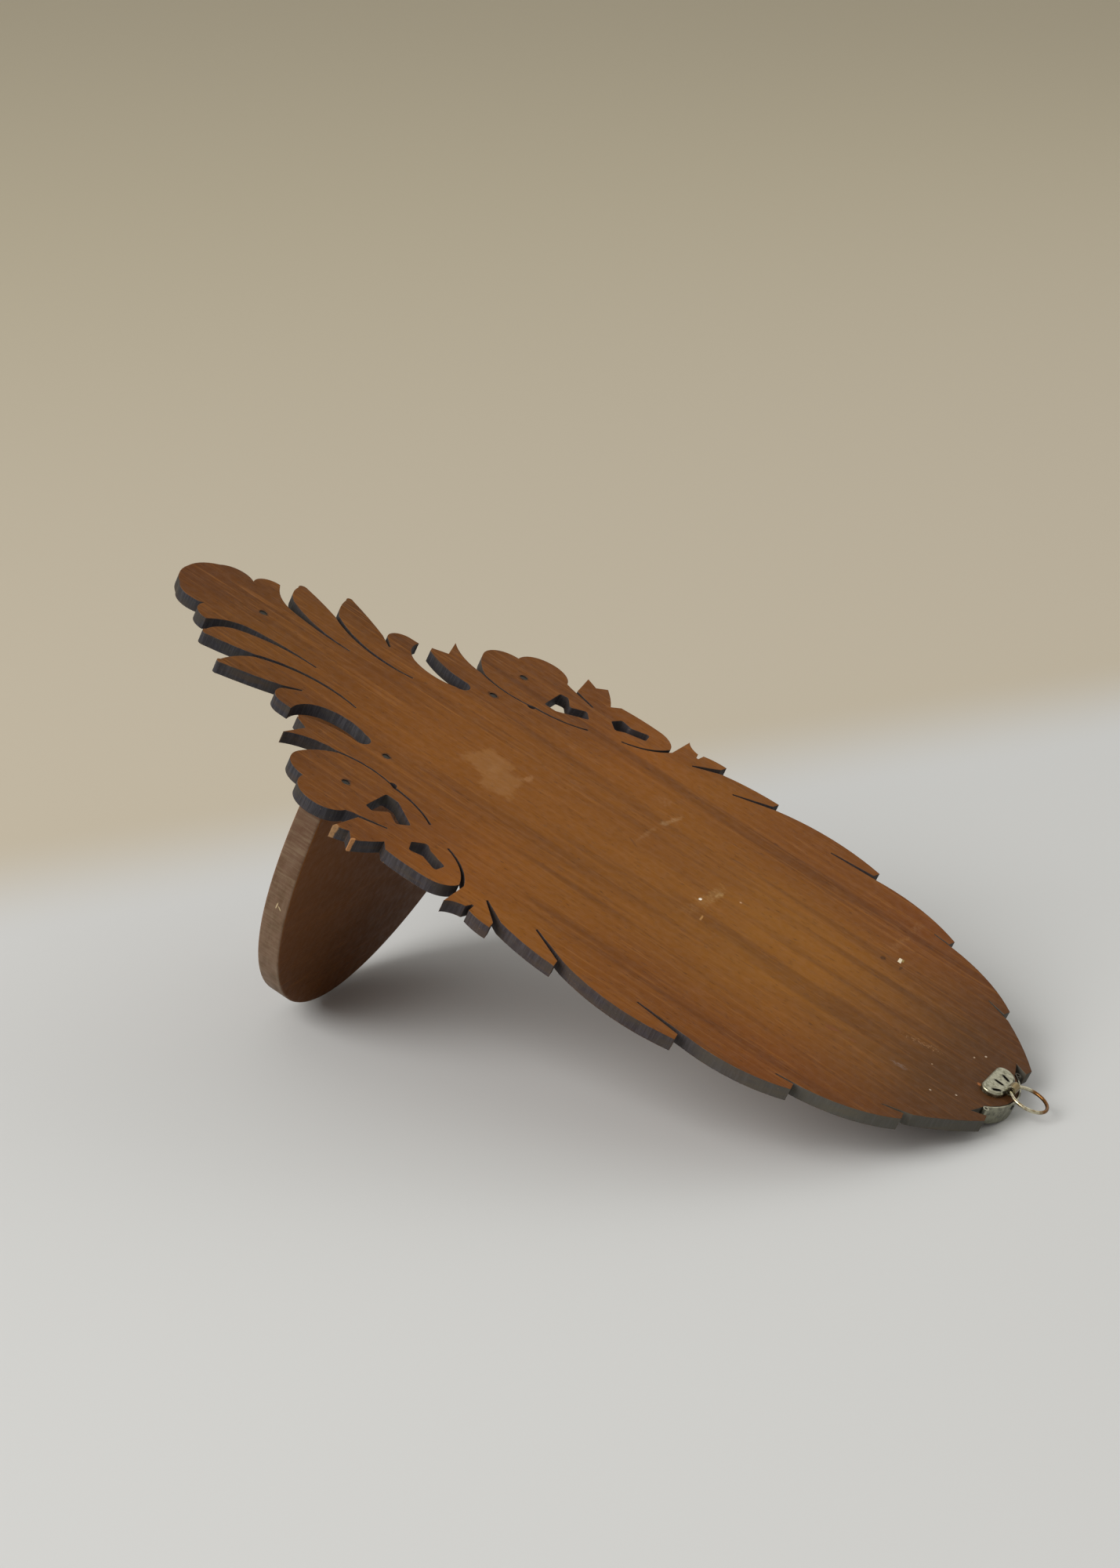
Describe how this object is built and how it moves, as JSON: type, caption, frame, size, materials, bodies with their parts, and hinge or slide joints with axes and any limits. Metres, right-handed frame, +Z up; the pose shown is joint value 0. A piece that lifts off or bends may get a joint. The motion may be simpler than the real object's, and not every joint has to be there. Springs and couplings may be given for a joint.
{
  "type": "wall bracket shelf",
  "caption": "Fret-sawn wooden wall bracket: leaf-shaped back panel, half-oval shelf board on a rib, and a swinging ring hanger, lying face down.",
  "frame": {"origin": "on the surface that the part lies on, under the centre of its box", "axes": "+Z up from that surface; the panel's centre line runs along X, from the rounded lower end at -X down to the hanger end at +X; +Y across the panel"},
  "size_m": [0.2884, 0.1744, 0.1328],
  "materials": {
    "panel_wood": "brown stained hardwood, worn satin, sawn edges blackened",
    "board_wood": "darker brown stained hardwood, worn satin",
    "rib_wood": "brown stained hardwood, sawn edges",
    "nail_iron": "tarnished iron",
    "plate_nickel": "pressed sheet, worn nickel over brass",
    "ring_brass": "brass wire with worn nickel",
    "strip_nickel": "thin nickelled strip, dulled"
  },
  "bodies": {
    "bracket": {"back_panel": "panel_wood", "shelf_board": "board_wood", "support_bracket": "rib_wood", "shelf_nails": "nail_iron", "bracket_nail": "nail_iron", "hanger_plate": "plate_nickel", "tip_strip": "strip_nickel", "strip_brad": "nail_iron"},
    "ring": {"hanger_ring": "ring_brass"}
  },
  "joints": [
    {"name": "ring_swing", "type": "hinge", "parent": "bracket", "child": "ring", "pos_m": [0.13301, 0.0028, 0.00816], "axis": [0, -1, 0], "range_deg": [-10, 140]}
  ]
}
